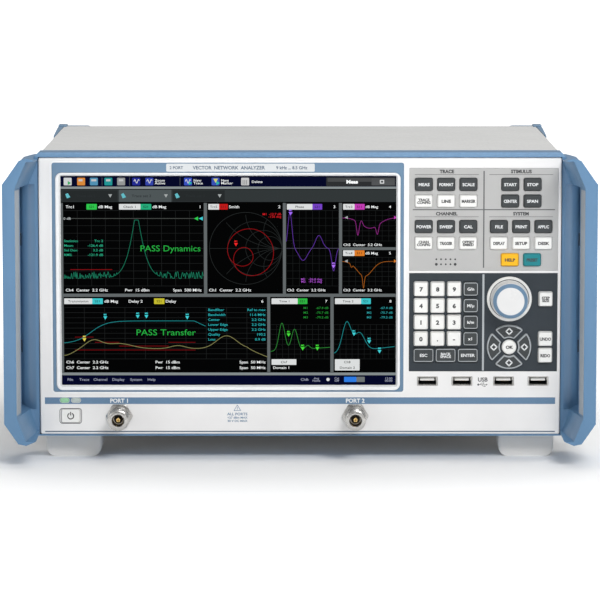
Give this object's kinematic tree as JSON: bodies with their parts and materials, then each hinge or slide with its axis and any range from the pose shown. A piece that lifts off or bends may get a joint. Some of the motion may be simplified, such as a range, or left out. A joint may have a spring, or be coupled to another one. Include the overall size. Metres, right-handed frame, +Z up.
{
  "type": "vector network analyzer",
  "caption": "Bench vector network analyzer with touch screen, key field, rotary knob, coaxial test ports, side handles, tilt legs, rear fan and mains inlet.",
  "frame": {"origin": "middle of the footprint, on the surface that the feet stand on", "axes": "+X to the right seen from the front, the front faces -Y, +Z up"},
  "size_m": [0.461, 0.351, 0.24],
  "materials": {
    "aluminium": "satin",
    "black_plastic": "matte",
    "blue_paint": "satin",
    "blue_plastic": "satin",
    "board_green": "satin",
    "brass": "satin",
    "copper": "satin",
    "cover_grey": "matte",
    "feet_grey": "matte",
    "key_dark": "satin",
    "key_teal": "satin",
    "key_white": "satin",
    "key_yellow": "satin",
    "knob_grey": "satin",
    "light_lens": "gloss",
    "nickel": "polished",
    "panel_white": "satin",
    "plate_dark": "matte",
    "plate_grey": "matte",
    "screen_glass": "gloss",
    "steel": "satin",
    "strip_grey": "matte",
    "surround_white": "satin"
  },
  "bodies": {
    "housing": {"bottom_cover": "cover_grey", "chassis": "aluminium", "display_module": "black_plastic", "encoder": "black_plastic", "entry_key_plate": "plate_dark", "fan_frame": "black_plastic", "feet": "feet_grey", "front_frame": "blue_paint", "front_panel": "panel_white", "handle_inlays": "strip_grey", "key_board": "board_green", "knob_ring": "key_white", "left_handle": "blue_paint", "mains_inlet": "black_plastic", "measuring_unit": "aluminium", "menu_key_plate": "plate_grey", "port_cables": "copper", "port_connectors": "nickel", "port_inserts": "brass", "port_nuts": "nickel", "power_supply": "steel", "processor_board": "board_green", "rear_bumpers": "blue_plastic", "rear_panel": "cover_grey", "rear_sockets": "nickel", "right_handle": "blue_paint", "screen_bezel": "blue_plastic", "screen_surround": "surround_white", "screws": "steel", "side_covers": "cover_grey", "status_lights": "light_lens", "top_cover": "cover_grey", "touch_glass": "screen_glass", "usb_sockets": "nickel"},
    "menu_keys_row_1": {"menu_keys_row_1": "key_dark"},
    "menu_keys_row_2_light": {"menu_keys_row_2_light": "key_white"},
    "menu_keys_row_2_dark": {"menu_keys_row_2_dark": "key_dark"},
    "menu_keys_row_3": {"menu_keys_row_3": "key_dark"},
    "menu_keys_row_4": {"menu_keys_row_4": "key_white"},
    "help_key": {"help_key": "key_yellow"},
    "preset_key": {"preset_key": "key_teal"},
    "digit_keys_row_1": {"digit_keys_row_1": "key_white"},
    "digit_keys_row_2": {"digit_keys_row_2": "key_white"},
    "digit_keys_row_3": {"digit_keys_row_3": "key_white"},
    "digit_keys_row_4": {"digit_keys_row_4": "key_white"},
    "side_keys": {"side_keys": "key_white"},
    "unit_keys": {"unit_keys": "key_dark"},
    "edit_keys": {"edit_keys": "key_dark"},
    "cursor_up_key": {"cursor_up_key": "key_dark"},
    "cursor_left_key": {"cursor_left_key": "key_dark"},
    "cursor_down_key": {"cursor_down_key": "key_dark"},
    "cursor_right_key": {"cursor_right_key": "key_dark"},
    "ok_key": {"ok_key": "key_white"},
    "power_key": {"power_key": "key_white"},
    "knob": {"knob": "knob_grey"},
    "knob_push": {"knob_shaft": "steel"},
    "left_tilt_leg": {"left_tilt_leg": "feet_grey"},
    "right_tilt_leg": {"right_tilt_leg": "feet_grey"},
    "mains_switch": {"mains_switch": "black_plastic"},
    "fan_rotor": {"fan_rotor": "black_plastic"}
  },
  "joints": [
    {"name": "menu_keys_row_1_press", "type": "slide", "parent": "housing", "child": "menu_keys_row_1", "axis": [0, 1, 0], "range_m": [0, 0.0008], "stiffness_N_per_m": 1500, "springref_m": -0.0002},
    {"name": "menu_keys_row_2_light_press", "type": "slide", "parent": "housing", "child": "menu_keys_row_2_light", "axis": [0, 1, 0], "range_m": [0, 0.0008], "stiffness_N_per_m": 1500, "springref_m": -0.0002},
    {"name": "menu_keys_row_2_dark_press", "type": "slide", "parent": "housing", "child": "menu_keys_row_2_dark", "axis": [0, 1, 0], "range_m": [0, 0.0008], "stiffness_N_per_m": 1500, "springref_m": -0.0002},
    {"name": "menu_keys_row_3_press", "type": "slide", "parent": "housing", "child": "menu_keys_row_3", "axis": [0, 1, 0], "range_m": [0, 0.0008], "stiffness_N_per_m": 1500, "springref_m": -0.0002},
    {"name": "menu_keys_row_4_press", "type": "slide", "parent": "housing", "child": "menu_keys_row_4", "axis": [0, 1, 0], "range_m": [0, 0.0008], "stiffness_N_per_m": 1500, "springref_m": -0.0002},
    {"name": "help_key_press", "type": "slide", "parent": "housing", "child": "help_key", "axis": [0, 1, 0], "range_m": [0, 0.0008], "stiffness_N_per_m": 1000, "springref_m": -0.0002},
    {"name": "preset_key_press", "type": "slide", "parent": "housing", "child": "preset_key", "axis": [0, 1, 0], "range_m": [0, 0.0008], "stiffness_N_per_m": 1000, "springref_m": -0.0002},
    {"name": "digit_keys_row_1_press", "type": "slide", "parent": "housing", "child": "digit_keys_row_1", "axis": [0, 1, 0], "range_m": [0, 0.0008], "stiffness_N_per_m": 1500, "springref_m": -0.0002},
    {"name": "digit_keys_row_2_press", "type": "slide", "parent": "housing", "child": "digit_keys_row_2", "axis": [0, 1, 0], "range_m": [0, 0.0008], "stiffness_N_per_m": 1500, "springref_m": -0.0002},
    {"name": "digit_keys_row_3_press", "type": "slide", "parent": "housing", "child": "digit_keys_row_3", "axis": [0, 1, 0], "range_m": [0, 0.0008], "stiffness_N_per_m": 1500, "springref_m": -0.0002},
    {"name": "digit_keys_row_4_press", "type": "slide", "parent": "housing", "child": "digit_keys_row_4", "axis": [0, 1, 0], "range_m": [0, 0.0008], "stiffness_N_per_m": 1500, "springref_m": -0.0002},
    {"name": "side_keys_press", "type": "slide", "parent": "housing", "child": "side_keys", "axis": [0, 1, 0], "range_m": [0, 0.0008], "stiffness_N_per_m": 1500, "springref_m": -0.0002},
    {"name": "unit_keys_press", "type": "slide", "parent": "housing", "child": "unit_keys", "axis": [0, 1, 0], "range_m": [0, 0.0008], "stiffness_N_per_m": 1500, "springref_m": -0.0002},
    {"name": "edit_keys_press", "type": "slide", "parent": "housing", "child": "edit_keys", "axis": [0, 1, 0], "range_m": [0, 0.0008], "stiffness_N_per_m": 1500, "springref_m": -0.0002},
    {"name": "cursor_up_key_press", "type": "slide", "parent": "housing", "child": "cursor_up_key", "axis": [0, 1, 0], "range_m": [0, 0.0008], "stiffness_N_per_m": 1000, "springref_m": -0.0002},
    {"name": "cursor_left_key_press", "type": "slide", "parent": "housing", "child": "cursor_left_key", "axis": [0, 1, 0], "range_m": [0, 0.0008], "stiffness_N_per_m": 1000, "springref_m": -0.0002},
    {"name": "cursor_down_key_press", "type": "slide", "parent": "housing", "child": "cursor_down_key", "axis": [0, 1, 0], "range_m": [0, 0.0008], "stiffness_N_per_m": 1000, "springref_m": -0.0002},
    {"name": "cursor_right_key_press", "type": "slide", "parent": "housing", "child": "cursor_right_key", "axis": [0, 1, 0], "range_m": [0, 0.0008], "stiffness_N_per_m": 1000, "springref_m": -0.0002},
    {"name": "ok_key_press", "type": "slide", "parent": "housing", "child": "ok_key", "axis": [0, 1, 0], "range_m": [0, 0.0008], "stiffness_N_per_m": 1000, "springref_m": -0.0002},
    {"name": "power_key_press", "type": "slide", "parent": "housing", "child": "power_key", "axis": [0, 1, 0], "range_m": [0, 0.0008], "stiffness_N_per_m": 1000, "springref_m": -0.0002},
    {"name": "knob_push", "type": "slide", "parent": "housing", "child": "knob_push", "axis": [0, 1, 0], "range_m": [0, 0.0005], "stiffness_N_per_m": 4000, "springref_m": -0.0002},
    {"name": "knob_turn", "type": "hinge", "parent": "knob_push", "child": "knob", "pos_m": [0.1622, -0.1435, 0.126], "axis": [0, -1, 0], "continuous": true},
    {"name": "left_tilt_leg_fold", "type": "hinge", "parent": "housing", "child": "left_tilt_leg", "pos_m": [-0.177, -0.1095, 0.0054], "axis": [-1, 0, 0], "range_deg": [0, 95]},
    {"name": "right_tilt_leg_fold", "type": "hinge", "parent": "housing", "child": "right_tilt_leg", "pos_m": [0.177, -0.1095, 0.0054], "axis": [-1, 0, 0], "range_deg": [0, 95]},
    {"name": "mains_switch_rock", "type": "hinge", "parent": "housing", "child": "mains_switch", "pos_m": [0.112, 0.1625, 0.062], "axis": [1, 0, 0], "range_deg": [0, 18]},
    {"name": "fan_spin", "type": "hinge", "parent": "housing", "child": "fan_rotor", "pos_m": [-0.104, 0.1505, 0.166], "axis": [0, 1, 0], "continuous": true}
  ]
}
